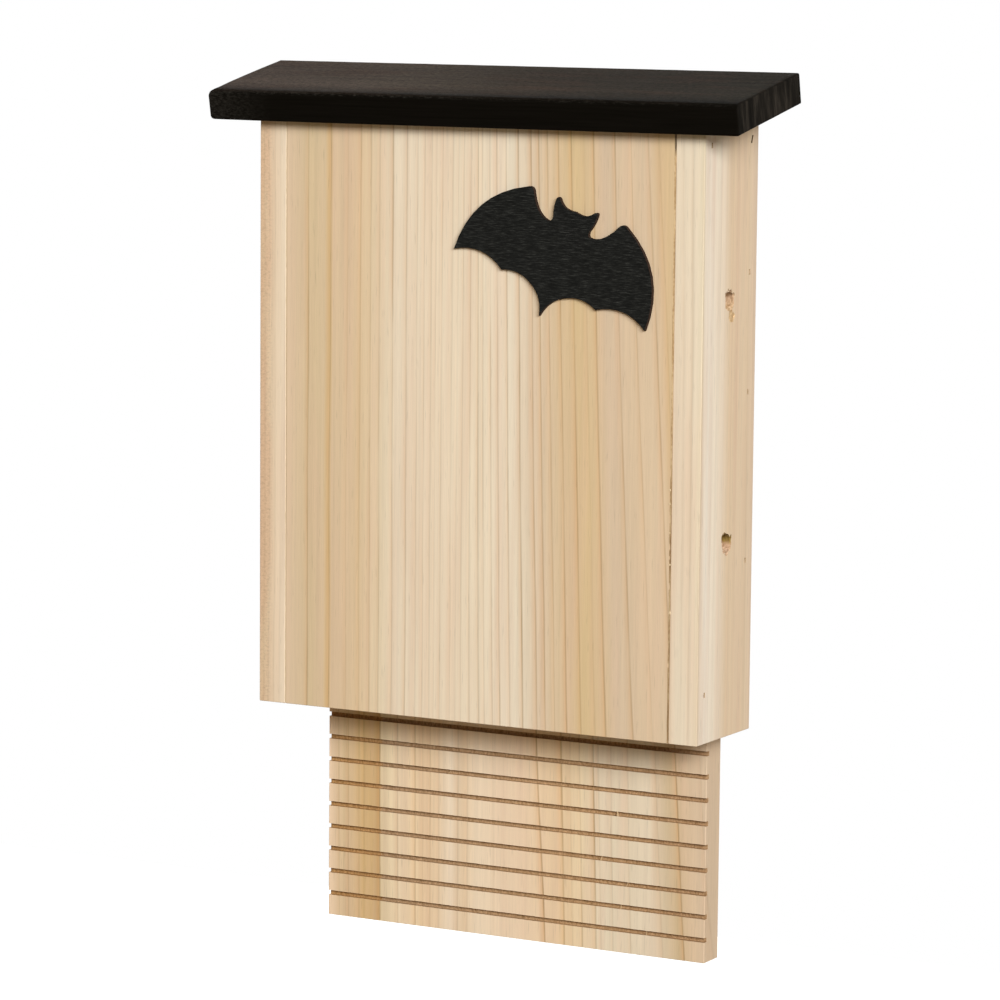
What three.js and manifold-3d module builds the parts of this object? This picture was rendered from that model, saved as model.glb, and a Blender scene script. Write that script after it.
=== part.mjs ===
// A wooden bat box that hangs on a wall. Four softwood boards make a flat box that is open below, the
// back board runs on down as a grooved landing board, and a black roof board is pitched to the front.
//
// Millimetres. X is to the right as seen from the front, the front faces -Y and +Z is up. The wall is
// the plane y = 0, and z = 0 is the level of the box's lower edge.

import * as THREE from 'three';
import { mergeVertices } from 'three/addons/utils/BufferGeometryUtils.js';
import Module from 'manifold-3d';

// The box and its boards
const boxWidth = 211;
const boxDepth = 50;
const boxBackHeight = 262;
const sideThickness = 13;
const frontThickness = 13;
const backThickness = 13;
const landingHeight = 100;
const glueLine = 0.1;
const easedEdge = 0.5;

// The roof board, pitched down to the front
const roofWidth = 250;
const roofDepth = 60;
const roofThickness = 13;
const roofPitchDegrees = 11;
const roofNoseRadius = 2;
const roofSeat = 0.3;

// The saw-cut grooves that the bats climb
const grooveHeight = 2;
const grooveDepth = 2;
const groovePitch = 10;
const lowestGroove = 9.9;
const plainTop = 18;

// The drilled vents, one above the other in each side
const ventDiameter = 8;
const ventHeightShares = [0.311, 0.693];

// The keyhole slot behind, for the head of a wall screw
const keyholeEntryDiameter = 10;
const keyholeSlotWidth = 5;
const keyholeTravel = 15;
const keyholeDepth = 8;
const keyholeLip = 3;
const keyholeFromTop = 40;
const keyholeSides = 32;

// The steel brads that hold the boards: flat wire with a T head and a chisel point, shot in by a gun
const bradLength = 28;
const bradWireWidth = 1.25;
const bradWireThickness = 1;
const bradHeadWidth = 2;
const bradHeadHeight = 0.6;
const bradPointLength = 1.8;
const bradPointWidth = 0.4;
const bradSink = 0.5;
const bradClearance = 0.3;
const backBradHeightShares = [0.277, 0.548, 0.739, 0.948];
const frontBradHeightShares = [0.081, 0.971];
const roofBradDepthShares = [0.28, 0.62];

// The plywood bat, laser-cut and glued to the front panel
const batSpan = 94.4;
const batHeight = 49.6;
const batThickness = 2;
const batTiltDegrees = 18.5;
const batLeanShare = 0.04;
const batTailFromSide = 74.4;
const batTailBelowTop = 88.1;
const batCurveSteps = 8;

// How far a cutting form runs out past the surface it opens
const cutOverrun = 1;

const roofPitch = THREE.MathUtils.degToRad(roofPitchDegrees);
const insideWidth = boxWidth - 2 * (sideThickness + glueLine);

// Height of the boards' sloping top at a depth from the wall, where y is negative
function topHeight(y) {
  return boxBackHeight + y * Math.tan(roofPitch);
}

const wasm = await Module();
wasm.setup();

// A closed mesh as a solid in the frame of the whole part
function toSolid(mesh) {
  mesh.updateWorldMatrix(true, false);
  const geometry = mesh.geometry.clone().applyMatrix4(mesh.matrixWorld);
  geometry.deleteAttribute('normal');
  geometry.deleteAttribute('uv');
  const merged = mergeVertices(geometry);
  return new wasm.Manifold(new wasm.Mesh({
    numProp: 3,
    vertProperties: Float32Array.from(merged.attributes.position.array),
    triVerts: Uint32Array.from(merged.index.array),
  }));
}

// Cuts every tool out of a mesh, whichever groups they stand in
function cut(mesh, tools) {
  let solid = toSolid(mesh);
  for (const tool of tools) {
    solid = solid.subtract(toSolid(tool));
  }
  const result = solid.getMesh();
  const geometry = new THREE.BufferGeometry();
  geometry.setAttribute('position', new THREE.BufferAttribute(result.vertProperties, 3));
  geometry.setIndex(new THREE.BufferAttribute(result.triVerts, 1));
  geometry.applyMatrix4(mesh.matrixWorld.clone().invert());
  mesh.geometry = geometry.toNonIndexed();
  mesh.geometry.computeVertexNormals();
}

function finish(color, roughness, metalness = 0) {
  return new THREE.MeshStandardMaterial({ color, roughness, metalness });
}

function namedMesh(name, geometry, material) {
  const mesh = new THREE.Mesh(geometry, material);
  mesh.name = name;
  return mesh;
}

// A board from its outline as seen from the side, drawn as y and z, with the edges of both faces eased
function boardAcross(outline, width) {
  const geometry = new THREE.ExtrudeGeometry(outline, {
    depth: width - 2 * easedEdge,
    bevelThickness: easedEdge,
    bevelSize: easedEdge,
    bevelOffset: -easedEdge,
    bevelSegments: 1,
  });
  geometry.translate(0, 0, easedEdge - width / 2);
  const drawingToFrame = new THREE.Matrix4().makeBasis(
    new THREE.Vector3(0, 1, 0),
    new THREE.Vector3(0, 0, 1),
    new THREE.Vector3(1, 0, 0),
  );
  return geometry.applyMatrix4(drawingToFrame);
}

const batBox = new THREE.Group();

// Side panels: the full depth of the box, with the top cut to the roof's pitch
function sidePanelOutline() {
  const outline = new THREE.Shape([
    new THREE.Vector2(0, 0),
    new THREE.Vector2(0, boxBackHeight),
    new THREE.Vector2(-boxDepth, topHeight(-boxDepth)),
    new THREE.Vector2(-boxDepth, 0),
  ]);
  const chamberMiddle = -(backThickness + boxDepth - frontThickness) / 2;
  for (const share of ventHeightShares) {
    const vent = new THREE.Path();
    vent.absarc(chamberMiddle, boxBackHeight * share, ventDiameter / 2, 0, 2 * Math.PI);
    outline.holes.push(vent);
  }
  return outline;
}

const sidePanels = {};
for (const [name, hand] of [['left', -1], ['right', 1]]) {
  const panel = namedMesh(
    `side_panel_${name}`,
    boardAcross(sidePanelOutline(), sideThickness),
    finish(0xe6d3b6, 0.65),
  );
  panel.position.x = hand * (boxWidth - sideThickness) / 2;
  batBox.add(panel);
  sidePanels[name] = panel;
}

// Front panel: held between the sides, flush with their front edges
const frontPanel = namedMesh(
  'front_panel',
  boardAcross(new THREE.Shape([
    new THREE.Vector2(-boxDepth, 0),
    new THREE.Vector2(-boxDepth + frontThickness, 0),
    new THREE.Vector2(-boxDepth + frontThickness, topHeight(-boxDepth + frontThickness)),
    new THREE.Vector2(-boxDepth, topHeight(-boxDepth)),
  ]), insideWidth),
  finish(0xe3cba6, 0.6),
);
batBox.add(frontPanel);

// Back board: held between the sides and carried on down as the landing board, with grooves sawn
// across its whole front from the lower edge to just under the roof
function backBoardOutline() {
  const face = -backThickness;
  const points = [new THREE.Vector2(0, -landingHeight), new THREE.Vector2(face, -landingHeight)];
  const grooveEnd = topHeight(face) - plainTop;
  for (let z = lowestGroove - landingHeight; z < grooveEnd; z += groovePitch) {
    const low = z - grooveHeight / 2;
    const high = z + grooveHeight / 2;
    points.push(new THREE.Vector2(face, low), new THREE.Vector2(face + grooveDepth, low));
    points.push(new THREE.Vector2(face + grooveDepth, high), new THREE.Vector2(face, high));
  }
  points.push(new THREE.Vector2(face, topHeight(face)), new THREE.Vector2(0, boxBackHeight));
  return new THREE.Shape(points);
}

const backBoard = namedMesh(
  'back_board',
  boardAcross(backBoardOutline(), insideWidth),
  finish(0xdcc19a, 0.65),
);
batBox.add(backBoard);

// A slot with round ends, upright in the wall plane, cut from behind between two depths
function keyholeSlotTool(width, fromDepth, toDepth) {
  const outline = new THREE.Shape();
  outline.absarc(0, keyholeTravel, width / 2, 0, Math.PI);
  outline.absarc(0, 0, width / 2, Math.PI, 2 * Math.PI);
  const tool = new THREE.Mesh(
    new THREE.ExtrudeGeometry(outline, { depth: toDepth - fromDepth, bevelEnabled: false }),
  );
  tool.rotation.x = Math.PI / 2;
  tool.position.set(0, -fromDepth, boxBackHeight - keyholeFromTop - keyholeTravel);
  return tool;
}

const keyholeEntryTool = new THREE.Mesh(new THREE.CylinderGeometry(
  keyholeEntryDiameter / 2,
  keyholeEntryDiameter / 2,
  keyholeDepth + cutOverrun,
  keyholeSides,
));
keyholeEntryTool.position.set(
  0,
  (cutOverrun - keyholeDepth) / 2,
  boxBackHeight - keyholeFromTop - keyholeTravel,
);

// Roof board: square to its own pitch and rounded over along the top of its front edge, with its
// lower edge at the back in the wall plane
function roofBoardOutline() {
  const outline = new THREE.Shape();
  outline.moveTo(0, 0);
  outline.lineTo(0, roofThickness);
  outline.absarc(
    roofNoseRadius - roofDepth,
    roofThickness - roofNoseRadius,
    roofNoseRadius,
    Math.PI / 2,
    Math.PI,
  );
  outline.lineTo(-roofDepth, 0);
  return outline;
}

const roof = new THREE.Group();
roof.rotation.x = roofPitch;
roof.position.z = boxBackHeight + roofSeat;
batBox.add(roof);

const roofBoard = namedMesh(
  'roof_board',
  boardAcross(roofBoardOutline(), roofWidth),
  finish(0x1c1a18, 0.55),
);
roof.add(roofBoard);

// What is cut out of each board
const cuts = new Map([
  [sidePanels.left, []],
  [sidePanels.right, []],
  [frontPanel, []],
  [backBoard, [
    keyholeEntryTool,
    keyholeSlotTool(keyholeSlotWidth, -cutOverrun, keyholeDepth),
    keyholeSlotTool(keyholeEntryDiameter, keyholeLip, keyholeDepth),
  ]],
  [roofBoard, []],
]);

// Brads: drawn upright with the point below, and the hole is the same form a clearance larger
function bradGeometry(clearance, mouth) {
  const halfPoint = bradPointWidth / 2 + clearance;
  const halfWire = bradWireWidth / 2 + clearance;
  const halfHead = bradHeadWidth / 2 + clearance;
  const underHead = bradLength - bradHeadHeight - clearance;
  const top = bradLength + mouth;
  const outline = new THREE.Shape([
    new THREE.Vector2(halfPoint, -clearance),
    new THREE.Vector2(halfWire, bradPointLength),
    new THREE.Vector2(halfWire, underHead),
    new THREE.Vector2(halfHead, underHead),
    new THREE.Vector2(halfHead, top),
    new THREE.Vector2(-halfHead, top),
    new THREE.Vector2(-halfHead, underHead),
    new THREE.Vector2(-halfWire, underHead),
    new THREE.Vector2(-halfWire, bradPointLength),
    new THREE.Vector2(-halfPoint, -clearance),
  ]);
  const thickness = bradWireThickness + 2 * clearance;
  const geometry = new THREE.ExtrudeGeometry(outline, { depth: thickness, bevelEnabled: false });
  return geometry.translate(0, 0, -thickness / 2);
}

// Drives a brad until its head is a little under the surface at a point, with the head's length
// along the grain, and has its boards pierced
function driveBrad(name, group, surfacePoint, outward, grain, boards) {
  const brad = namedMesh(name, bradGeometry(0, 0), finish(0x8c8a86, 0.4, 0.9));
  const across = new THREE.Vector3().crossVectors(grain, outward);
  brad.setRotationFromMatrix(new THREE.Matrix4().makeBasis(grain, outward, across));
  brad.position.copy(surfacePoint).addScaledVector(outward, -bradLength - bradSink);
  group.add(brad);
  const hole = new THREE.Mesh(bradGeometry(bradClearance, bradSink + cutOverrun));
  brad.add(hole);
  for (const board of boards) {
    cuts.get(board).push(hole);
  }
}

const up = new THREE.Vector3(0, 0, 1);
const toRight = new THREE.Vector3(1, 0, 0);
const backLine = -backThickness / 2;
const frontLine = -boxDepth + frontThickness / 2;
for (const [name, hand] of [['left', -1], ['right', 1]]) {
  const side = sidePanels[name];
  const outward = toRight.clone().multiplyScalar(hand);
  const face = hand * boxWidth / 2;
  const middle = side.position.x;
  backBradHeightShares.forEach((share, index) => {
    const point = new THREE.Vector3(face, backLine, topHeight(backLine) * share);
    driveBrad(`brad_${name}_back_${index + 1}`, batBox, point, outward, up, [side, backBoard]);
  });
  frontBradHeightShares.forEach((share, index) => {
    const point = new THREE.Vector3(face, frontLine, topHeight(frontLine) * share);
    driveBrad(`brad_${name}_front_${index + 1}`, batBox, point, outward, up, [side, frontPanel]);
  });
  roofBradDepthShares.forEach((share, index) => {
    const point = new THREE.Vector3(middle, -boxDepth * share, roofThickness);
    driveBrad(`brad_roof_${name}_${index + 1}`, roof, point, up, toRight, [roofBoard, side]);
  });
}

for (const [board, tools] of cuts) {
  cut(board, tools);
}
for (const tool of [...cuts.values()].flat()) {
  tool.removeFromParent();
}

// Bat figure: one half of the outline from the tail to the crown, as control and end points of
// curves in shares of the half span and the height, which is then mirrored
const batHalfOutlineShares = [
  [0.034, 0.161, 0.178, 0.226],
  [0.328, 0.306, 0.492, 0.239],
  [0.746, 0.387, 1, 0.242],
  [1.008, 0.756, 0.519, 0.982],
  [0.47, 1.012, 0.441, 0.964],
  [0.35, 0.796, 0.225, 0.784],
  [0.182, 0.784, 0.189, 0.835],
  [0.216, 0.899, 0.214, 0.98],
  [0.21, 1.014, 0.178, 0.994],
  [0.14, 0.944, 0.085, 0.935],
  [0.042, 0.931, 0, 0.94],
];

function batOutline() {
  const half = new THREE.Path();
  half.moveTo(0, 0);
  for (const [controlX, controlY, endX, endY] of batHalfOutlineShares) {
    half.quadraticCurveTo(
      controlX * batSpan / 2,
      controlY * batHeight,
      endX * batSpan / 2,
      endY * batHeight,
    );
  }
  const right = half.getPoints(batCurveSteps);
  const left = right.slice(1, -1).reverse().map((point) => new THREE.Vector2(-point.x, point.y));
  const leaning = [...right, ...left].map(
    (point) => new THREE.Vector2(point.x + batLeanShare * point.y, point.y),
  );
  return new THREE.Shape(leaning);
}

const batFigure = namedMesh(
  'bat_figure',
  new THREE.ExtrudeGeometry(batOutline(), { depth: batThickness, bevelEnabled: false }),
  finish(0x1a1918, 0.7),
);
batFigure.rotation.set(Math.PI / 2, 0, -THREE.MathUtils.degToRad(batTiltDegrees));
batFigure.position.set(
  boxWidth / 2 - batTailFromSide,
  -boxDepth - glueLine,
  boxBackHeight - batTailBelowTop,
);
batBox.add(batFigure);

export default batBox;
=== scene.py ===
import math

import bpy
from mathutils import Matrix, Vector, noise


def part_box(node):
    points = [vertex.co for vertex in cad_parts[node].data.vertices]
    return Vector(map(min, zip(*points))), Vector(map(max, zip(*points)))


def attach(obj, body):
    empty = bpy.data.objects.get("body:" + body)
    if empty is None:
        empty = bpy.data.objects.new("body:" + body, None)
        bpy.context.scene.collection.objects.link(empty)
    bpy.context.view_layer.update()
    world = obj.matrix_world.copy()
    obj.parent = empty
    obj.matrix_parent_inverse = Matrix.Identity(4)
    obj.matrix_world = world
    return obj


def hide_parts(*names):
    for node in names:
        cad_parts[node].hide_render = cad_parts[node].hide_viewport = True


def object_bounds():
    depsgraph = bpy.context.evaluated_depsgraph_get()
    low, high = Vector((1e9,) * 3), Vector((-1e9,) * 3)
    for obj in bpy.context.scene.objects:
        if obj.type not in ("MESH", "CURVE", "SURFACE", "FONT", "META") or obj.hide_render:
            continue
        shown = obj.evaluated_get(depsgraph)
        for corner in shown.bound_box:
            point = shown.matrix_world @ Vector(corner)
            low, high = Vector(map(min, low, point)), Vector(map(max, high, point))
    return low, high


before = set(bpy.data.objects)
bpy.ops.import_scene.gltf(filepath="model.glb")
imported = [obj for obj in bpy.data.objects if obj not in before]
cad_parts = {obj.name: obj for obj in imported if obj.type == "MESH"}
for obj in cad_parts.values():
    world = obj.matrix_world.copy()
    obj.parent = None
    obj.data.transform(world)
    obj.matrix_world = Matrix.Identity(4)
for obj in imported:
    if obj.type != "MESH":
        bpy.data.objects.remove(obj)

cad_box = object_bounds()


# Back board. A planed panel of pine, glued up from three staves, that stands between the sides and
# runs on down as the landing board. The climbing grooves are sawn right across its front, so their
# walls are rough and brown, and the keyhole slot for a wall screw is routed into its rear face.
MM = 0.001
ROOF_PITCH = math.radians(11)
BOX_BACK_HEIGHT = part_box("side_panel_left")[1].z
EASED_EDGE = 0.35 * MM

GROOVE_HEIGHT = 2 * MM
GROOVE_DEPTH = 2 * MM
GROOVE_PITCH = 10 * MM
LOWEST_GROOVE = 9.9 * MM
GROOVE_COUNT = 34
SAW_OVERRUN = 2 * MM
SAW_STEPS = 160
SAW_WANDER = 0.09 * MM

KEYHOLE_ENTRY_RADIUS = 5 * MM
KEYHOLE_SLOT_RADIUS = 2.5 * MM
KEYHOLE_TRAVEL = 15 * MM
KEYHOLE_DEPTH = 8 * MM
KEYHOLE_LIP = 3 * MM
KEYHOLE_FROM_TOP = 40 * MM

# Splinters left standing across the grooves: place along the board in millimetres, groove
# counted from below, and radius at the foot in millimetres
SPLINTERS = [(50.3, 6, 0.6), (42.9, 4, 0.35), (55.4, 3, 0.3), (52.5, 2, 0.3), (64.8, 1, 0.3),
             (-31.5, 7, 0.2), (12.4, 9, 0.2)]
SPLINTER_LENGTH = GROOVE_HEIGHT * 1.2
SPLINTER_INSET = 0.5 * MM
SPLINTER_TILT = 0.2
SPLINTER_LEAN = 0.25
SPLINTER_WANDER = 0.06 * MM

# The growth rings of every board, in millimetres: how far they wander, how far a line reaches
# past and before the end of its ring, and how far before it the ochre wood starts
RING_WANDER = 1.6
LINE_AFTER = 0.55
LINE_BEFORE = 0.65
OCHRE_BEFORE = 3

# How far the border of a tint wanders on torn wood, in millimetres
TINT_WANDER = 6


def linear(hex_colour):
    """An sRGB hex colour as the linear colour that a shader takes."""
    shares = [int(hex_colour[i:i + 2], 16) / 255 for i in (1, 3, 5)]
    channels = [s / 12.92 if s <= 0.04045 else ((s + 0.055) / 1.055) ** 2.4 for s in shares]
    return (*channels, 1)


def add(tree, kind, links=None, output=0, stops=(), **settings):
    """Adds a node with its settings and what comes into it, and gives back one of its outputs.
    The stops are a ramp's colours or a curve's corners, from left to right."""
    node = tree.nodes.new("ShaderNode" + kind)
    for name, value in settings.items():
        setattr(node, name, value)
    for socket, source in (links or {}).items():
        if isinstance(source, bpy.types.NodeSocket):
            tree.links.new(source, node.inputs[socket])
        else:
            node.inputs[socket].default_value = source
    if kind == "ValToRGB":
        ramp = node.color_ramp
        ramp.elements.remove(ramp.elements[1])
        ramp.elements[0].position, ramp.elements[0].color = stops[0][0], linear(stops[0][1])
        for place, colour in stops[1:]:
            ramp.elements.new(place).color = linear(colour)
    if kind == "FloatCurve":
        node.mapping.use_clip = False
        corners = node.mapping.curves[0].points
        corners[0].location, corners[1].location = stops[0], stops[-1]
        for corner in stops[1:-1]:
            corners.new(*corner)
        for corner in corners:
            corner.handle_type = "VECTOR"
        node.mapping.update()
    return node.outputs[output] if node.outputs else node


def new_material(name):
    """An empty material, its node tree, and the object's own millimetres to place patterns in."""
    material = bpy.data.materials.new(name)
    material.use_nodes = True
    tree = material.node_tree
    tree.nodes.clear()
    place = add(tree, "Mapping", {"Vector": add(tree, "TexCoord", output="Object"),
                                  "Scale": (1 / MM,) * 3})
    return material, tree, place


def finish_with(tree, colour, roughness, specular, height, relief, metallic=0):
    """The shader at the end of a tree. The relief is in metres, from a pattern of heights."""
    bump = add(tree, "Bump", {"Height": height, "Distance": relief})
    shader = add(tree, "BsdfPrincipled", {
        "Base Color": colour, "Roughness": roughness, "Specular IOR Level": specular,
        "Metallic": metallic, "Normal": bump,
    })
    add(tree, "OutputMaterial", {"Surface": shader})


def pine(name, across, start, middle, span, tones, rings, slopes, seed, sawn=None):
    """Planed pine: pale earlywood between growth rings that run up the board, under broad soft
    streaks, fine fibres and short resin ducts. It gives the eye the rings at their real places,
    each turning ochre over its last 3 mm and ending in a fine brown line.

    Places are millimetres across the board's face at the height middle, and lie within span.
    They grow in the direction across, through the wood too, and start sets them right on the
    face. Tones are the wood's colours, rings the lines and how dark they are, out of 34, slopes
    how far the lines lean, and sawn is where a mottled edge starts to fade and ends."""
    material, tree, place = new_material(name)
    first, last = span

    def share(x):
        return (x - first) / (last - first)

    # Where on the board: the lines lean a little towards one edge and wander as the trunk did.
    # The curve holds their lean over ten millimetres of height
    dot = add(tree, "VectorMath", {0: place, 1: across}, output="Value", operation="DOT_PRODUCT")
    sideways = add(tree, "Math", {0: dot, 1: start}, operation="ADD")
    straight = add(tree, "MapRange", {"Value": sideways, "From Min": first, "From Max": last},
                   clamp=False)
    slope = add(tree, "FloatCurve", {"Value": straight},
                stops=[(share(x), 10 * s) for x, s in slopes])
    height = add(tree, "SeparateXYZ", {0: place}, output="Z")
    tens = add(tree, "MapRange", {"Value": height, "From Min": middle, "From Max": middle + 10},
               clamp=False)
    lean = add(tree, "Math", {0: slope, 1: tens, 2: sideways}, operation="MULTIPLY_ADD")
    trunk = add(tree, "Mapping", {"Vector": place, "Location": (seed, 0, 0),
                                  "Scale": (0.03, 0.03, 0.008)})
    wander = add(tree, "TexNoise", {"Vector": trunk, "Scale": 1, "Detail": 1})
    settled = add(tree, "Math", {0: wander, 1: RING_WANDER, 2: lean}, operation="MULTIPLY_ADD")
    at = add(tree, "MapRange", {"Value": settled, "From Min": first + RING_WANDER / 2,
                                "From Max": last + RING_WANDER / 2}, clamp=False)

    # How far back the last ring line lies and how far off the next one is, in millimetres
    places = [first] + [x for x, _ in rings] + [last]
    steps = len(places) - 1
    widths = [(share((a + b) / 2), (b - a) / 10) for a, b in zip(places, places[1:])]
    count = add(tree, "FloatCurve", {"Value": at},
                stops=[(share(x), i / steps) for i, x in enumerate(places)])
    tenths = add(tree, "FloatCurve", {"Value": at},
                 stops=[(0, widths[0][1])] + widths + [(1, widths[-1][1])])
    number = add(tree, "Math", {0: count, 1: steps}, operation="MULTIPLY")
    phase = add(tree, "Math", {0: number}, operation="FRACT")
    wide = add(tree, "Math", {0: tenths, 1: 10}, operation="MULTIPLY")
    behind = add(tree, "Math", {0: phase, 1: wide}, operation="MULTIPLY")
    ahead = add(tree, "Math", {0: wide, 1: behind}, operation="SUBTRACT")

    # A fine line stands at the end of each ring, and ochre wood shades up to it. Both are strong
    # in patches and faint in others, as the lines are on the real board
    after, before, nearing = (
        add(tree, "MapRange", {"Value": away, "From Max": reach, "To Min": strength, "To Max": 0},
            interpolation_type="SMOOTHSTEP")
        for away, reach, strength in ((behind, LINE_AFTER, 1), (ahead, LINE_BEFORE, 1),
                                      (ahead, OCHRE_BEFORE, 0.6))
    )
    line = add(tree, "Math", {0: after, 1: before}, operation="MAXIMUM")
    darkness = add(tree, "FloatCurve", {"Value": at},
                   stops=[(0, 0.1)] + [(share(x), d / 34) for x, d in rings] + [(1, 0.1)])
    stretch = add(tree, "Mapping", {"Vector": place, "Location": (0, seed, 0),
                                    "Scale": (0.25, 0.25, 0.02)})
    patches = add(tree, "TexNoise", {"Vector": stretch, "Scale": 1, "Detail": 2})
    faded = add(tree, "MapRange", {"Value": patches, "From Min": 0.3, "From Max": 0.7,
                                   "To Min": 0.5, "To Max": 1.35})
    latewood = add(tree, "Math", {0: darkness, 1: faded}, operation="MULTIPLY")
    ring = add(tree, "Math", {0: line, 1: latewood}, operation="MULTIPLY")
    ochre = add(tree, "Math", {0: nearing, 1: latewood}, operation="MULTIPLY")

    # The wood's own colour, with long rosy patches, and then the ochre and the lines over it
    tone = add(tree, "ValToRGB", {"Fac": at}, stops=[(share(x), c) for x, c in tones])
    blush_at = add(tree, "Mapping", {"Vector": place, "Location": (seed, seed, 0),
                                     "Scale": (0.14, 0.14, 0.006)})
    blush_noise = add(tree, "TexNoise", {"Vector": blush_at, "Scale": 1, "Detail": 2})
    blush = add(tree, "MapRange", {"Value": blush_noise, "From Min": 0.45, "From Max": 0.8,
                                   "To Max": 0.5})
    blushed = add(tree, "Mix", {0: blush, 6: tone, 7: linear("#e0bd9f")}, output=2,
                  data_type="RGBA")
    shaded = add(tree, "Mix", {0: ochre, 6: blushed, 7: linear("#d8923c")}, output=2,
                 data_type="RGBA")
    ringed = add(tree, "Mix", {0: ring, 6: shaded, 7: linear("#7a5824")}, output=2,
                 data_type="RGBA")

    # Streaks two millimetres wide, fibres drawn a quarter of a millimetre wide so that they
    # show, and dark ducts about ten millimetres long
    streak_at = add(tree, "Mapping", {"Vector": place, "Location": (seed, seed, 0),
                                      "Scale": (0.5, 0.5, 0.006)})
    streaks = add(tree, "TexNoise", {"Vector": streak_at, "Scale": 1, "Detail": 3})
    fibre_at = add(tree, "Mapping", {"Vector": place, "Scale": (4, 4, 0.05)})
    fibres = add(tree, "TexNoise", {"Vector": fibre_at, "Scale": 1, "Detail": 2})
    duct_at = add(tree, "Mapping", {"Vector": place, "Scale": (1.6, 1.6, 0.09)})
    ducts = add(tree, "TexNoise", {"Vector": duct_at, "Scale": 1, "Detail": 1})
    duct = add(tree, "MapRange", {"Value": ducts, "From Min": 0.64, "From Max": 0.74,
                                  "To Max": 0.13})
    streaked = add(tree, "Math", {0: streaks, 1: 0.24, 2: 0.785}, operation="MULTIPLY_ADD")
    fibred = add(tree, "Math", {0: fibres, 1: 0.2, 2: streaked}, operation="MULTIPLY_ADD")
    light = add(tree, "Math", {0: fibred, 1: duct}, operation="SUBTRACT")

    # An edge left as it was sawn is mottled and rosy, where its fibres lie torn
    if sawn:
        torn_at = add(tree, "Mapping", {"Vector": place, "Scale": (0.6, 0.6, 1.1)})
        torn = add(tree, "TexNoise", {"Vector": torn_at, "Scale": 1, "Detail": 4,
                                      "Roughness": 0.7})
        edge = add(tree, "MapRange", {"Value": at, "From Min": share(sawn[0]),
                                      "From Max": share(sawn[1]), "To Min": 1, "To Max": 0})
        mottled = add(tree, "MapRange", {"Value": torn, "From Min": 0.3, "From Max": 0.55,
                                         "To Min": -0.21, "To Max": 0.04})
        light = add(tree, "Math", {0: mottled, 1: edge, 2: light}, operation="MULTIPLY_ADD")
        reddened = add(tree, "MapRange", {"Value": patches, "From Min": 0.42, "From Max": 0.6,
                                          "To Max": 0.22})
        rosy = add(tree, "Math", {0: reddened, 1: edge}, operation="MULTIPLY")
        ringed = add(tree, "Mix", {0: rosy, 6: ringed, 7: linear("#d8a584")}, output=2,
                     data_type="RGBA")

    # Sawn ends drink the light: they are darker than the planed faces
    facing = add(tree, "TexCoord", output="Normal")
    upwards = add(tree, "SeparateXYZ", {0: facing}, output="Z")
    upright = add(tree, "Math", {0: upwards}, operation="ABSOLUTE")
    end = add(tree, "MapRange", {"Value": upright, "From Min": 0.7, "From Max": 0.95,
                                 "To Min": 1, "To Max": 0.8})
    shade = add(tree, "Math", {0: light, 1: end}, operation="MULTIPLY")
    colour = add(tree, "VectorMath", {0: ringed, "Scale": shade}, operation="SCALE")
    raised = add(tree, "Math", {0: ring, 1: 0.5, 2: fibres}, operation="MULTIPLY_ADD")
    finish_with(tree, colour, 0.62, 0.3, raised, 0.06 * MM)
    return material


def torn_pine(name, dark, pale, grit, axis="X", tints=((0, "#ffffff"),)):
    """Pine cut across by a saw or a drill. It gives the eye torn, dull brown fibres with pale
    ends between them. Grit is the width of the torn bits in millimetres, and tints are colours
    at places in millimetres along an axis, with borders as ragged as the fibres."""
    material, tree, place = new_material(name)
    torn_at = add(tree, "Mapping", {"Vector": place, "Scale": (1 / grit, 1 / grit, 0.5 / grit)})
    torn = add(tree, "TexNoise", {"Vector": torn_at, "Scale": 1, "Detail": 4, "Roughness": 0.65})
    fibres = add(tree, "ValToRGB", {"Fac": torn}, stops=[(0.3, dark), (0.65, pale)])
    first, last = tints[0][0], tints[-1][0] + 1
    straight = add(tree, "SeparateXYZ", {0: place}, output=axis)
    ragged = add(tree, "Math", {0: torn, 1: TINT_WANDER, 2: straight}, operation="MULTIPLY_ADD")
    along = add(tree, "MapRange", {"Value": ragged, "From Min": first + TINT_WANDER / 2,
                                   "From Max": last + TINT_WANDER / 2})
    tint = add(tree, "ValToRGB", {"Fac": along},
               stops=[((at - first) / (last - first), colour) for at, colour in tints])
    colour = add(tree, "VectorMath", {0: fibres, 1: tint}, operation="MULTIPLY")
    finish_with(tree, colour, 0.85, 0.15, torn, 0.3 * MM)
    return material


def selected(piece):
    """Leaves one piece selected and active, for the operators."""
    bpy.ops.object.select_all(action="DESELECT")
    piece.select_set(True)
    bpy.context.view_layer.objects.active = piece


def primitive(operator, **settings):
    """Adds a primitive to work on, with its place in its mesh."""
    bpy.ops.object.select_all(action="DESELECT")
    operator(**settings)
    bpy.ops.object.transform_apply(location=True, rotation=True, scale=True)
    return bpy.context.object


def block(low, high):
    """A box between two corners."""
    return primitive(bpy.ops.mesh.primitive_cube_add, size=1, location=(low + high) / 2,
                     scale=high - low)


def shape(piece, kind, **settings):
    """Adds a modifier with its settings and applies it."""
    selected(piece)
    modifier = piece.modifiers.new(kind, kind)
    for name, value in settings.items():
        setattr(modifier, name, value)
    bpy.ops.object.modifier_apply(modifier=modifier.name)


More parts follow.
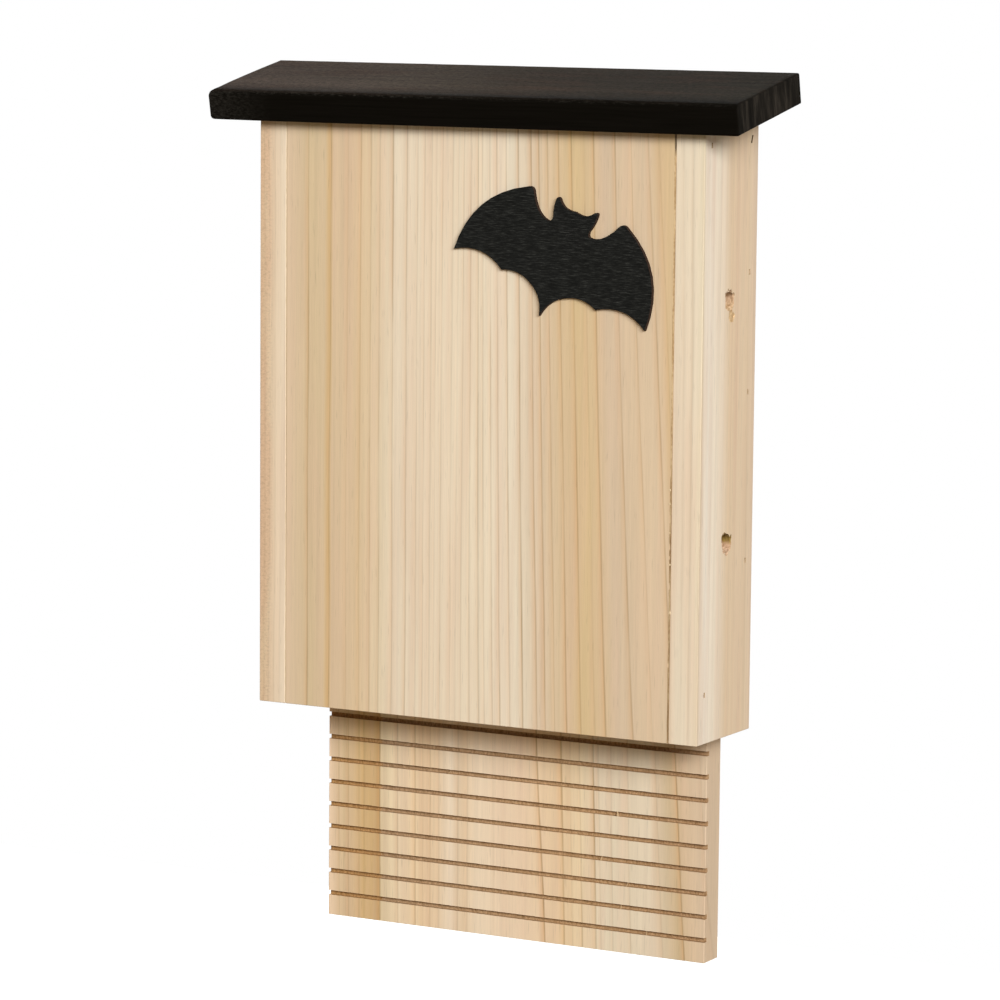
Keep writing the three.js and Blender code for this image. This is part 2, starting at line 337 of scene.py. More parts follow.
def divide(piece, axis, cuts):
    """Divides the edges that run along an axis, give or take a slight lean."""
    selected(piece)
    bpy.ops.object.mode_set(mode="EDIT")
    bpy.ops.mesh.select_mode(type="EDGE")
    bpy.ops.mesh.select_all(action="DESELECT")
    bpy.ops.object.mode_set(mode="OBJECT")
    points = piece.data.vertices
    for edge in piece.data.edges:
        run = points[edge.vertices[1]].co - points[edge.vertices[0]].co
        edge.select = abs(run.normalized()[axis]) > 0.9
    bpy.ops.object.mode_set(mode="EDIT")
    bpy.ops.mesh.subdivide(number_cuts=cuts)
    bpy.ops.object.mode_set(mode="OBJECT")


def roughen(piece, wander, seed):
    """Moves every point a little at random."""
    selected(piece)
    bpy.ops.object.mode_set(mode="EDIT")
    bpy.ops.mesh.select_all(action="SELECT")
    bpy.ops.transform.vertex_random(offset=wander, seed=seed)
    bpy.ops.object.mode_set(mode="OBJECT")


def cut(piece, cutter, finish):
    """Takes a cutter out of a piece, and gives the faces it leaves their own finish."""
    cutter.data.materials.clear()
    cutter.data.materials.append(finish)
    shape(piece, "BOOLEAN", object=cutter, operation="DIFFERENCE", solver="EXACT",
          material_mode="TRANSFER")
    bpy.data.objects.remove(cutter)


def join(name, pieces):
    """Makes several pieces one."""
    selected(pieces[0])
    for piece in pieces:
        piece.select_set(True)
    bpy.ops.object.join()
    pieces[0].name = pieces[0].data.name = name
    return pieces[0]


def plank(name, low, high, finish):
    """A board, cut a millimetre long and then along the roof's pitch, with its edges eased by
    sanding."""
    piece = block(low, high + Vector((0, 0, MM)))
    piece.name = piece.data.name = name
    selected(piece)
    bpy.ops.object.mode_set(mode="EDIT")
    bpy.ops.mesh.select_all(action="SELECT")
    bpy.ops.mesh.bisect(
        plane_co=(0, 0, BOX_BACK_HEIGHT),
        plane_no=(0, -math.sin(ROOF_PITCH), math.cos(ROOF_PITCH)),
        use_fill=True, clear_outer=True,
    )
    bpy.ops.object.mode_set(mode="OBJECT")
    shape(piece, "BEVEL", width=EASED_EDGE, segments=3, limit_method="ANGLE")
    piece.data.materials.append(finish)
    return piece


def place_in_frame(piece, slot, *nodes):
    """Smooths a finished piece between its sharp edges and ties it to the part's frame."""
    selected(piece)
    bpy.ops.object.shade_smooth_by_angle(angle=math.radians(40))
    shape(piece, "WEIGHTED_NORMAL", mode="FACE_AREA", weight=100, keep_sharp=True)
    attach(piece, "root")
    if nodes:
        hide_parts(*nodes)


saw_cut = torn_pine("saw_cut_pine", "#9f7d56", "#d1af87", 0.8,
                    tints=[(-67, "#fbeccc"), (-66, "#f7f5f5"), (40, "#fffaf0"), (90, "#f0e8e0")])
back_pine = pine(
    "planed_pine_back", (1, 0.35, 0), 4.5, -55, (-92.4, 92.4),
    tones=[(-92, "#f4d5b3"), (-84, "#dec295"), (-74, "#dab680"), (-66.7, "#c7a46e"),
           (-66.2, "#e4cea4"), (-57, "#f3dab6"), (-44, "#f2d3a9"), (-37, "#edd1ad"),
           (-31, "#f4dec0"), (-25, "#e8cca8"), (-18, "#f2daba"), (5, "#eed1af"),
           (24, "#edcfa4"), (39.6, "#ecd7b3"), (40.2, "#ead8ba"), (56, "#e6d3b5"),
           (66, "#e6d3b6"), (78, "#ceb38b"), (84, "#dcbf9c"), (92, "#dac0a1")],
    rings=[(-87.2, 6), (-82.4, 6), (-76.8, 6), (-74.6, 4), (-66.4, 14), (-57.2, 10), (-48.4, 10),
           (-44.8, 4), (-41.2, 7), (-36.9, 4), (-27.1, 10), (-22.8, 4), (-9.8, 2), (13.8, 16),
           (24.5, 10), (28.4, 4), (33, 9), (40, 14), (42.1, 4), (48, 6), (56, 5), (70.4, 5),
           (80.3, 14)],
    slopes=[(-92.4, 0.005), (-30, 0.003), (0, 0.02), (13, 0.06), (25, 0.022), (40, 0.028),
            (50, 0.028), (70, 0.06), (92.4, 0.075)],
    seed=3,
)

board_low, board_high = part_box("back_board")
back_board = plank("back_board_planed", board_low, board_high, back_pine)

lowest = Vector((0, board_low.y, board_low.z + LOWEST_GROOVE))
reach = Vector((board_high.x + SAW_OVERRUN, GROOVE_DEPTH, GROOVE_HEIGHT / 2))
saw_blade = block(lowest - reach, lowest + reach)
shape(saw_blade, "ARRAY", count=GROOVE_COUNT, use_relative_offset=False,
      use_constant_offset=True, constant_offset_displace=(0, 0, GROOVE_PITCH))
divide(saw_blade, 0, SAW_STEPS)
roughen(saw_blade, SAW_WANDER, 3)
cut(back_board, saw_blade, saw_cut)

# The router goes in at the entry and up the slot: a narrow neck, and a wide seat behind the lip.
# The upper half of each round cutter is drawn up by its travel
entry = BOX_BACK_HEIGHT - KEYHOLE_FROM_TOP - KEYHOLE_TRAVEL
for radius, near, far, travel in (
    (KEYHOLE_ENTRY_RADIUS, -MM, KEYHOLE_DEPTH, 0),
    (KEYHOLE_SLOT_RADIUS, -MM, KEYHOLE_DEPTH, KEYHOLE_TRAVEL),
    (KEYHOLE_ENTRY_RADIUS, KEYHOLE_LIP, KEYHOLE_DEPTH, KEYHOLE_TRAVEL),
):
    router = primitive(
        bpy.ops.mesh.primitive_cylinder_add, vertices=48, radius=radius, depth=far - near,
        location=(0, -(near + far) / 2, entry), rotation=(math.pi / 2, 0, 0),
    )
    for point in router.data.vertices:
        if point.co.z > entry + radius / 50:
            point.co.z += travel
    cut(back_board, router, saw_cut)
place_in_frame(back_board, "softwood_back", "back_board")

splinter_pine = torn_pine("splintered_pine", "#b8976c", "#d8ba92", 1.5)
slivers = []
for number, (x, groove, width) in enumerate(SPLINTERS):
    height = board_low.z + LOWEST_GROOVE + (groove - 1) * GROOVE_PITCH
    sliver = primitive(
        bpy.ops.mesh.primitive_cone_add, vertices=6, radius1=width * MM, radius2=width * MM / 2,
        depth=SPLINTER_LENGTH, location=(x * MM, board_low.y + SPLINTER_INSET, height),
        rotation=(SPLINTER_TILT * (-1) ** number, SPLINTER_LEAN * (number % 3), 0),
    )
    divide(sliver, 2, 3)
    roughen(sliver, SPLINTER_WANDER, number)
    slivers.append(sliver)
splinters = join("groove_splinters", slivers)
splinters.data.materials.append(splinter_pine)
place_in_frame(splinters, "softwood_back")


# Side panels. Two planed pine boards, sanded on their edges, with two vent holes drilled through
# each from outside. The drill tore the fibres round the holes, and small pockets over the sunk
# brad heads show where each board is held to the back board and the front panel.
VENT_RADIUS = 4 * MM
VENT_FROM_WALL = 25 * MM
DRILL_OVERRUN = 2 * MM
BORE_STEPS = 9
BORE_WANDER = 0.13 * MM
TORN_AREA = Vector((0.5, 8, 13)) * MM
TORN_STEPS = {1: 40, 2: 60}
POCKET_MARGIN = 0.1 * MM
POCKET_WANDER = 0.15 * MM

# How far the panels' outer faces lie from the middle of the box, in millimetres
OUTER_FACE = 105.5

# The upper nail at the back went in askew: how far it drew the top of its pocket
SLANT = Vector((0, 0.9, 0.8)) * MM

# Torn places round the vents, from a hole's middle: towards the wall, up, and then their width,
# height and depth, in millimetres, as the clearance is of the sheet that cuts them. Each vent
# has its height as a share of the box's
UPPER_TEARS = [(-2.6, 2.6, 1.7, 1.5, 0.8), (0.4, 4.1, 1.3, 0.8, 0.9), (3.4, 2.3, 0.9, 1.2, 0.7),
               (-1.4, 5.1, 0.5, 0.5, 0.3), (1.2, -5.9, 1.8, 2.6, 0.45), (2.8, -6.5, 1.5, 2.1, 0.4),
               (4.3, -6.2, 0.5, 0.7, 1), (0.9, -7.2, 0.5, 0.8, 0.9), (-3.3, -1.2, 0.8, 1.6, 0.5)]
LOWER_TEARS = [(-3.1, 2.1, 1.2, 1.9, 0.9), (-1.6, 3.6, 1.4, 0.9, 0.7), (3.5, 0.3, 1.0, 2.2, 0.6),
               (3.2, -2.2, 1.0, 1.4, 0.5), (0.4, -4.1, 1.3, 1.0, 0.4), (-2.2, -3.0, 0.8, 1.0, 0.5),
               (4.3, 2.4, 0.5, 0.8, 0.4)]
SHEET_CLEARANCE = 0.05
VENTS = [(0.311, LOWER_TEARS), (0.693, UPPER_TEARS)]


def torn_out(back, up, level, tears):
    """How deep the fibres are torn out at a place beside a vent, in millimetres. The borders
    wander within about a millimetre, in another way at each vent."""
    ragged = noise.noise((1.3 * back, 0.7 * up, 5 * level))
    deepest = -SHEET_CLEARANCE
    for across, above, wide, tall, deep in tears:
        out = math.hypot((back - across) / wide, (up - above) / tall) + 0.35 * ragged
        if out < 1:
            pit = deep * math.sqrt(1 - max(out, 0) ** 2) * (0.8 + 0.5 * ragged)
            deepest = max(deepest, pit)
    return deepest


# The bores are pale at the foot and browner towards the top: painted shade, as under each bore's
# upper rim. The askew nail's pocket is painted dark brown, as shade in its hole
bored_pine = torn_pine("drilled_pine", "#a98560", "#f6dfbe", 1.0, "Z",
                       tints=[(76, "#fff3ee"), (80.5, "#f6e3da"), (82, "#bcae72"), (85, "#8d8052"),
                              (86.5, "#fff6e6"), (177, "#fff6e2"), (183, "#f6e6dc"),
                              (184.5, "#cdbfb2"), (186, "#a89c92"), (187, "#ffffff")])
pocket_pine = torn_pine("pricked_pine", "#b08f69", "#d2b48f", 0.6)
askew_pocket_shade = torn_pine("pricked_pine_painted_shade", "#3d2c14", "#6b5028", 0.6)
right_pine = pine(
    "planed_pine_right", (0.6, 1, 0), -0.6 * OUTER_FACE, 130, (-58, 8),
    tones=[(-58, "#e9d3b6"), (-57, "#e7d5ba"), (-55, "#e9d9be"), (-52, "#e8d7bc"),
           # The darker tones at -50.1 and -49.7 mm are painted shade that dulls the front corner's
           # highlight
           (-50.6, "#e8d8ba"), (-50.1, "#dac8a9"), (-49.7, "#dac8a9"), (-49.1, "#ead9c0"),
           (-48, "#f1e2cc"), (-44, "#f6e9d5"), (-36, "#f3e3cb"), (-30, "#efdbc1"),
           (-27, "#e6cfb1"), (-24, "#e5cba9"), (-15, "#e6cdad"), (-8, "#e5cdac"),
           (-2.5, "#e4cbae"), (-0.5, "#dcc4a9"), (8, "#e1ceac")],
    rings=[(-56.8, 2), (-54.9, 3), (-52.7, 4), (-50.2, 1), (-44.4, 1.5), (-40.2, 1), (-36.5, 1.5),
           (-31.8, 1), (-28.4, 2), (-22.3, 1), (-17.2, 2.5), (-12.6, 1), (-6.8, 2.5),
           (-2.2, 2), (3, 3)],
    slopes=[(-58, 0.008), (-50, 0), (-20, 0.004), (8, 0.01)],
    seed=11,
)
left_pine = pine(
    "planed_pine_left", (0.8, 1, 0), 0.8 * OUTER_FACE, 130, (-50, 11),
    tones=[(-50, "#dcbe9b"), (-47.5, "#e0c4a0"), (-45, "#e9d1b1"), (-42.5, "#f0dabc"),
           (-39.5, "#f4dfc2"), (-28, "#ebd2b4"), (-24, "#e8ccad"), (-18, "#e4c5a0"),
           (-8, "#e1c19e"), (0, "#e3c3a1"), (11, "#dfbe98")],
    rings=[(-48.2, 3), (-46.3, 3), (-44, 3), (-41.8, 2), (-38.5, 2), (-33, 4), (-28.6, 3),
           (-22.5, 5), (-17.4, 5), (-11, 6), (-5, 5), (2, 5)],
    slopes=[(-50, 0), (-20, -0.004), (11, -0.01)],
    seed=29, sawn=(-46.5, -44.5),
)

for hand, side, side_pine in ((1, "right", right_pine), (-1, "left", left_pine)):
    low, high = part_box("side_panel_" + side)
    panel = plank(f"side_panel_{side}_planed", low, high, side_pine)
    face = high.x if hand > 0 else low.x

    for level, (share, tears) in enumerate(VENTS):
        height = share * BOX_BACK_HEIGHT
        drill = primitive(
            bpy.ops.mesh.primitive_cylinder_add, vertices=40, radius=VENT_RADIUS,
            depth=high.x - low.x + DRILL_OVERRUN, rotation=(0, math.pi / 2, 0),
            location=((low.x + high.x) / 2, -VENT_FROM_WALL, height),
        )
        divide(drill, 0, BORE_STEPS)
        roughen(drill, BORE_WANDER, 5 + level)
        cut(panel, drill, bored_pine)

        # A sheet just off the face, pushed into it as deep as the fibres are torn out
        middle = Vector((face + hand * TORN_AREA.x, -VENT_FROM_WALL, height))
        torn = block(middle - TORN_AREA, middle + TORN_AREA)
        for axis, steps in TORN_STEPS.items():
            divide(torn, axis, steps)
        for point in torn.data.vertices:
            if hand * (point.co.x - middle.x) < 0:
                back, up = (point.co.y - middle.y) / MM, (point.co.z - height) / MM
                point.co.x = face - hand * torn_out(back, up, level, tears) * MM
        cut(panel, torn, bored_pine)

    # A ragged pocket from each sunk head out through the face
    brads = sorted(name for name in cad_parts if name.startswith(f"brad_{side}_"))
    for number, name in enumerate(brads):
        nail_low, nail_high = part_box(name)
        head = nail_high.x if hand > 0 else nail_low.x
        margin = Vector((0, POCKET_MARGIN, POCKET_MARGIN))
        nail_low.x, nail_high.x = sorted((head - hand * POCKET_MARGIN, face + hand * MM))
        pocket = block(nail_low - margin, nail_high + margin)
        roughen(pocket, POCKET_WANDER, number)
        askew = name.endswith("back_4")
        if askew:
            for point in pocket.data.vertices:
                upper = point.co.z > (nail_low.z + nail_high.z) / 2
                point.co += SLANT if upper else -SLANT / 4
        # The askew pocket's dark brown wood is painted shade
        cut(panel, pocket, askew_pocket_shade if askew else pocket_pine)
    place_in_frame(panel, "softwood_side", "side_panel_" + side)


# Front panel. One planed pine board between the sides, glued and nailed through them, with its
# growth rings wide apart on the right and close together in the paler middle.
front_pine = pine(
    "planed_pine_front", (1, 0.4, 0), 20, 120, (-92.4, 92.4),
    tones=[(-92, "#e3c8a6"), (-80, "#dac199"), (-73.6, "#dcc29c"), (-71.8, "#dabb8b"),
           (-70.3, "#dabb8b"), (-69.4, "#ddc29d"), (-64, "#dec39e"), (-56, "#e1c59d"),
           (-46, "#e7d2b0"), (-38, "#ecdabe"), (-20, "#edd9bc"), (0, "#eddbbe"),
           (14, "#eeddc2"), (20, "#e9d9be"), (28, "#dfc9ab"), (40, "#dabf99"), (50, "#d6ba8c"),
           (58, "#d9bd94"), (64, "#d5bd9e"), (76, "#dac09e"), (87, "#dac1a0"), (92, "#d7b98e")],
    rings=[(-81.5, 10), (-70.4, 9), (-62, 4), (-55.6, 6), (-50.6, 7), (-46.3, 7), (-39.8, 11),
           (-33.1, 8), (-28, 5), (-24.6, 5), (-21.1, 5), (-19, 4), (-16, 6), (-10.9, 4),
           (-8.3, 3), (-5.7, 6), (-2, 6), (2, 8), (4.2, 6), (8, 7), (11.4, 9), (16, 10),
           (21.9, 13), (28.3, 11), (32, 13), (36.3, 7), (41.8, 12), (48.2, 10), (54.5, 3),
           (58.8, 11), (70, 10), (78.5, 6), (87.8, 9)],
    slopes=[(-92.4, 0), (-5, 0), (5, 0.014), (22, 0.02), (45, 0.029), (59, 0.035), (70, 0.048),
            (80, 0.06), (92.4, 0.055)],
    seed=17,
)
front_panel = plank("front_panel_planed", *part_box("front_panel"), front_pine)
place_in_frame(front_panel, "softwood_front", "front_panel")


# Dried glue. White wood glue that was squeezed out of the front joints when the box was clamped:
# a straw-coloured line at the left side, an uneven brown one at the right, and a few beads that
# ran out there.
GLUE_DEPTH = 0.3 * MM
GLUE_STEP = 1.4 * MM
GLUE_WANDER = 0.1 * MM

# On the left and on the right: a line's edges from the middle of its joint, and how far it lies
# below the front
GLUE_LINES = {-1: (-0.42 * MM, 0.42 * MM, 0.12 * MM), 1: (-0.62 * MM, 0.1 * MM, -0.03 * MM)}

# The beads' places across and up the front, and their radii, in millimetres
GLUE_BEADS = [(91.7, 105.4, 0.55), (91.7, 99.6, 0.5), (91.9, 87.7, 0.45), (92.1, 74.5, 0.5),
              (92.4, 54.6, 0.6)]
BEAD_SHAPE = (1, 0.6, 1.2)
BEAD_INSET = 0.15 * MM
BEAD_WANDER = 0.06 * MM

# Dried wood glue in a dusty joint: it gives the eye a dull line, brown and crumbled on the right
# and darker towards the foot, with painted shade under the roof, and clean and straw-coloured
# on the left
line_glue, tree, place = new_material("dried_wood_glue")
run_at = add(tree, "Mapping", {"Vector": place, "Scale": (0.5, 0.5, 0.045)})
run = add(tree, "TexNoise", {"Vector": run_at, "Scale": 1, "Detail": 4})
crumb_at = add(tree, "Mapping", {"Vector": place, "Scale": (1.5, 1.5, 0.7)})
crumbs = add(tree, "TexNoise", {"Vector": crumb_at, "Scale": 1, "Detail": 2})
mixed = add(tree, "Math", {0: crumbs, 1: 0.4, 2: run}, operation="MULTIPLY_ADD")
glue_colour = add(tree, "ValToRGB", {"Fac": mixed}, stops=[(0.5, "#96764f"), (0.66, "#b9966a"),
                                                           (0.82, "#d9bb8f")])
across, height = (add(tree, "SeparateXYZ", {0: place}, output=name) for name in "XZ")
aged = add(tree, "MapRange", {"Value": height, "From Min": 60, "From Max": 160, "To Min": 0.72,
                              "To Max": 1})
# Painted shade: the right line darkens to a quarter under the roof's overhang
roof_shade = add(tree, "MapRange", {"Value": height, "From Min": 241, "From Max": 245, "To Min": 1,
                                  "To Max": 0.25})
age_and_roof_shade = add(tree, "Math", {0: aged, 1: roof_shade}, operation="MULTIPLY")
aged_shaded_glue = add(tree, "VectorMath", {0: glue_colour, "Scale": age_and_roof_shade}, operation="SCALE")
on_left = add(tree, "Math", {0: across, 1: 0}, operation="LESS_THAN")
either = add(tree, "Mix", {0: on_left, 6: aged_shaded_glue, 7: linear("#dcc39b")}, output=2,
             data_type="RGBA")
finish_with(tree, either, 0.55, 0.3, crumbs, 0.1 * MM)

# The same glue in beads that stand clear of the dust: it gives the eye smooth straw-coloured drops
bead_glue, tree, _ = new_material("dried_glue_bead")
finish_with(tree, linear("#dcc39b"), 0.55, 0.3, 0, 0)

glue = []
panel_low, panel_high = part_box("front_panel")
joint_place = (panel_high.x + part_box("side_panel_right")[0].x) / 2
front_top = BOX_BACK_HEIGHT + panel_low.y * math.tan(ROOF_PITCH)
for hand, (left, right, sunk) in GLUE_LINES.items():
    joint = Vector((hand * joint_place, panel_low.y + sunk, 0))
    low = joint + Vector((left, 0, panel_low.z + EASED_EDGE))
    high = joint + Vector((right, GLUE_DEPTH, front_top - EASED_EDGE))
    line = block(low, high)
    divide(line, 2, round((high.z - low.z) / GLUE_STEP))
    roughen(line, GLUE_WANDER, 4 + hand)
    line.data.materials.append(line_glue)
    glue.append(line)
for number, (x, height, radius) in enumerate(GLUE_BEADS):
    bead = primitive(
        bpy.ops.mesh.primitive_uv_sphere_add, segments=12, ring_count=8, radius=radius * MM,
        location=(x * MM, panel_low.y + BEAD_INSET, height * MM), scale=BEAD_SHAPE,
    )
    roughen(bead, BEAD_WANDER, number)
    bead.data.materials.append(bead_glue)
    glue.append(bead)
place_in_frame(join("dried_glue", glue), "softwood_front")


# Brads. Flat steel wire nails with a T head, shot in by a nail gun and sunk half a millimetre
# below the wood, so that only their small dull heads show in their pockets.

# Drawn steel wire: it gives the eye a dull brownish grey metal, uneven with drawing scale
steel_wire, tree, place = new_material("drawn_steel_wire")
scale_at = add(tree, "Mapping", {"Vector": place, "Scale": (2.5, 2.5, 0.6)})
scaled = add(tree, "TexNoise", {"Vector": scale_at, "Scale": 1, "Detail": 3})
steel = add(tree, "ValToRGB", {"Fac": scaled}, stops=[(0.35, "#5e554b"), (0.65, "#8c857b")])
finish_with(tree, steel, 0.5, 0.5, scaled, 0.05 * MM, metallic=0.9)
for name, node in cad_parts.items():
    if name.startswith("brad_"):
        node.data.materials.clear()
        node.data.materials.append(steel_wire)


# Roof board. One planed softwood board, nailed to the sloping tops of the box, with the top of its
# front edge rounded over and its left corners worn. It is stained black, nail heads and all, and
# left matt: thick on the front edge, thinner and browner on the top, whose lighter colour is in
# part a painted sheen.
ROOF_SIZE = Vector((250, 60, 13)) * MM
ROOF_SEAT = 0.3 * MM
ROOF_NOSE = 2 * MM
ROOF_CORNER = 4 * MM
ROOF_LOWER_CORNER = ROOF_CORNER * 0.75
ROOF_EASED = 0.4 * MM
ROOF_RIGHT_EASED = ROOF_EASED * 2.5
ROOF_WORN_REACH = 9 * MM
ROOF_WORN_FADE = 8 * MM
ROOF_WANDER = 0.04 * MM
ROOF_STEPS = (60, 14)

roof_turn = Matrix.Rotation(ROOF_PITCH, 4, "X")
half = ROOF_SIZE / 2 - Vector((ROOF_WANDER,) * 3)
roof_board = block(-half, half)
roof_board.name = roof_board.data.name = "roof_board_stained"
for axis, steps in enumerate(ROOF_STEPS):
    divide(roof_board, axis, steps)

# How round each edge is, as a share of the roundest: the worn corners at the left of the front
roundness = roof_board.data.attributes.new("bevel_weight_edge", "FLOAT", "EDGE")
points = roof_board.data.vertices
for edge, share in zip(roof_board.data.edges, roundness.data):
    centre = (points[edge.vertices[0]].co + points[edge.vertices[1]].co) / 2
    at_edge = [abs(abs(centre[axis]) - half[axis]) < 0.01 * MM for axis in (0, 1, 2)]
    if sum(at_edge) < 2:
        continue
    width = ROOF_RIGHT_EASED if at_edge[0] and centre.x > 0 else ROOF_EASED
    if centre.y < 0 < centre.z and at_edge[1] and at_edge[2]:
        width = ROOF_NOSE
    if centre.y < 0.6 * -half.y and at_edge[2]:
        worn = min(max((ROOF_WORN_REACH - centre.x - half.x) / ROOF_WORN_FADE, 0), 1)
        width += ((ROOF_CORNER if centre.z > 0 else ROOF_LOWER_CORNER) - width) * worn
    share.value = width / ROOF_CORNER
roughen(roof_board, ROOF_WANDER, 8)
shape(roof_board, "BEVEL", width=ROOF_CORNER, segments=5, limit_method="WEIGHT")
middle = Vector((0, -ROOF_SIZE.y / 2, ROOF_SIZE.z / 2))
seat = Vector((0, 0, BOX_BACK_HEIGHT + ROOF_SEAT))
roof_board.data.transform(Matrix.Translation(seat) @ roof_turn @ Matrix.Translation(middle))

# Black water stain on planed pine: it gives the eye a matt brown black, lighter where the grain
# stands up, warmer in blotches, and nearly pure black where it lies thick. The grain is 1 mm wide
# and 45 mm long, and a fleck about 1 by 2 mm
black_stain, tree, place = new_material("black_stained_pine")
laid_flat = add(tree, "Mapping", {"Vector": place, "Rotation": (-ROOF_PITCH, 0, 0),
                                  "Location": roof_turn.inverted() @ seat / -MM})
right, inward = (add(tree, "SeparateXYZ", {0: laid_flat}, output=name) for name in "XY")
grain_at = add(tree, "Mapping", {"Vector": laid_flat, "Scale": (0.022, 1.1, 1.1)})
grain = add(tree, "TexNoise", {"Vector": grain_at, "Scale": 1, "Detail": 5, "Roughness": 0.75})
fleck_at = add(tree, "Mapping", {"Vector": laid_flat, "Scale": (0.45, 1.3, 1.4)})
flecks = add(tree, "TexNoise", {"Vector": fleck_at, "Scale": 1, "Detail": 4, "Roughness": 0.8})
rub_at = add(tree, "Mapping", {"Vector": laid_flat, "Scale": (0.02, 0.09, 0.09)})
rubbed = add(tree, "TexNoise", {"Vector": rub_at, "Scale": 1, "Detail": 3})
facing = add(tree, "VectorRotate", {"Vector": add(tree, "TexCoord", output="Normal"),
                                    "Angle": -ROOF_PITCH}, rotation_type="X_AXIS")
over = add(tree, "SeparateXYZ", {0: facing}, output="Z")
along = add(tree, "SeparateXYZ", {0: facing}, output="X")
top = add(tree, "MapRange", {"Value": over, "From Min": 0.6, "From Max": 0.99})
end = add(tree, "MapRange", {"Value": along, "From Min": 0.5, "From Max": 0.95})

# The top is browner to the left, with a rubbed band before its dark front edge. Its colour, far
# lighter than the front's, is in part painted sheen
length = add(tree, "MapRange", {"Value": right, "From Min": -125, "From Max": 125})
hue = add(tree, "ValToRGB", {"Fac": length}, stops=[(0, "#51463e"), (0.3, "#4f463d"),
                                                    (0.5, "#3e362d"), (0.65, "#342d25"),
                                                    (0.99, "#2b2720"), (1, "#1d1a16")])
warm = add(tree, "MapRange", {"Value": rubbed, "From Min": 0.5, "From Max": 0.7, "To Max": 0.35})
warmed = add(tree, "Mix", {0: warm, 6: hue, 7: linear("#4b3529")}, output=2, data_type="RGBA")
depth = add(tree, "MapRange", {"Value": inward, "From Min": -60, "From Max": 0})
band = add(tree, "FloatCurve", {"Value": depth},
           stops=[(0, 0.2), (0.05, 0.26), (0.1, 0.55), (0.18, 0.82), (0.26, 1.03), (0.34, 1.03),
                  (0.5, 0.87), (0.8, 0.76), (1, 0.9)])
veined = add(tree, "MapRange", {"Value": grain, "From Min": 0.32, "From Max": 0.68,
                                "To Min": 0.6, "To Max": 1.45})
flecked = add(tree, "MapRange", {"Value": flecks, "From Min": 0.35, "From Max": 0.68,
                                 "To Min": -0.5, "To Max": 0.85})
lit = add(tree, "Math", {0: veined, 1: flecked}, operation="ADD")
shade = add(tree, "Math", {0: lit, 1: band}, operation="MULTIPLY")
thin_and_sheen = add(tree, "VectorMath", {0: warmed, "Scale": shade}, operation="SCALE")

# The front edge is black but for the scuffed left corner and the wear along its upper edge,
# which fades to the right. The end is streaked where the growth rings rise through it
thick = add(tree, "ValToRGB", {"Fac": grain}, stops=[(0.35, "#090704"), (0.65, "#100d09")])
corner = add(tree, "MapRange", {"Value": right, "From Min": -94, "From Max": -122})
scuffs = add(tree, "MapRange", {"Value": flecks, "From Min": 0.42, "From Max": 0.66})
scuffed = add(tree, "Math", {0: corner, 1: scuffs}, operation="MULTIPLY")
rise_over = add(tree, "MapRange", {"Value": over, "From Min": 0.25, "From Max": 0.6})
rubbed_edge = add(tree, "MapRange", {"Value": flecks, "From Min": 0.5, "From Max": 0.62})
edge_wear = add(tree, "Math", {0: rise_over, 1: rubbed_edge}, operation="MULTIPLY")
leftwards = add(tree, "MapRange", {"Value": right, "From Min": -60, "From Max": 125, "To Min": 1,
                                   "To Max": 0.35})
faint = add(tree, "Math", {0: edge_wear, 1: leftwards}, operation="MULTIPLY")
worn_off = add(tree, "Math", {0: scuffed, 1: faint}, operation="MAXIMUM")
front = add(tree, "Mix", {0: worn_off, 6: thick, 7: linear("#302d28")}, output=2,
            data_type="RGBA")
rise_at = add(tree, "Mapping", {"Vector": laid_flat, "Rotation": (0.12, 0, 0),
                                "Scale": (0.2, 0.22, 0.04)})
rise = add(tree, "TexNoise", {"Vector": rise_at, "Scale": 1, "Detail": 3, "Roughness": 0.6})
streaked = add(tree, "ValToRGB", {"Fac": rise}, stops=[(0.32, "#100e0b"), (0.5, "#1e1b17"),
                                                       (0.68, "#37322c")])
edged = add(tree, "Mix", {0: end, 6: front, 7: streaked}, output=2, data_type="RGBA")
stain = add(tree, "Mix", {0: top, 6: edged, 7: thin_and_sheen}, output=2, data_type="RGBA")
finish_with(tree, stain, 0.85, 0.02, grain, 0.12 * MM)
roof_board.data.materials.append(black_stain)
place_in_frame(roof_board, "black_stained_roof", "roof_board")


# Bat figure. A plain bat shape cut by laser from 2 mm plywood, black on its face, with the cut
# edge scorched brown, and glued flat on the front panel.
BAT_EDGE = 0.12 * MM

# The outline is the CAD node's own, with its loose triangles merged into a face with a rim
bat_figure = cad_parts["bat_figure"].copy()
bat_figure.data = bat_figure.data.copy()
bat_figure.parent = None
bpy.context.collection.objects.link(bat_figure)
bat_figure.name = bat_figure.data.name = "bat_figure_cut"
selected(bat_figure)
bpy.ops.object.mode_set(mode="EDIT")
bpy.ops.mesh.select_all(action="SELECT")
bpy.ops.mesh.remove_doubles(threshold=0.01 * MM)
bpy.ops.mesh.dissolve_limited(angle_limit=math.radians(1))
bpy.ops.object.mode_set(mode="OBJECT")
shape(bat_figure, "BEVEL", width=BAT_EDGE, segments=2, limit_method="ANGLE",
      angle_limit=math.radians(60))

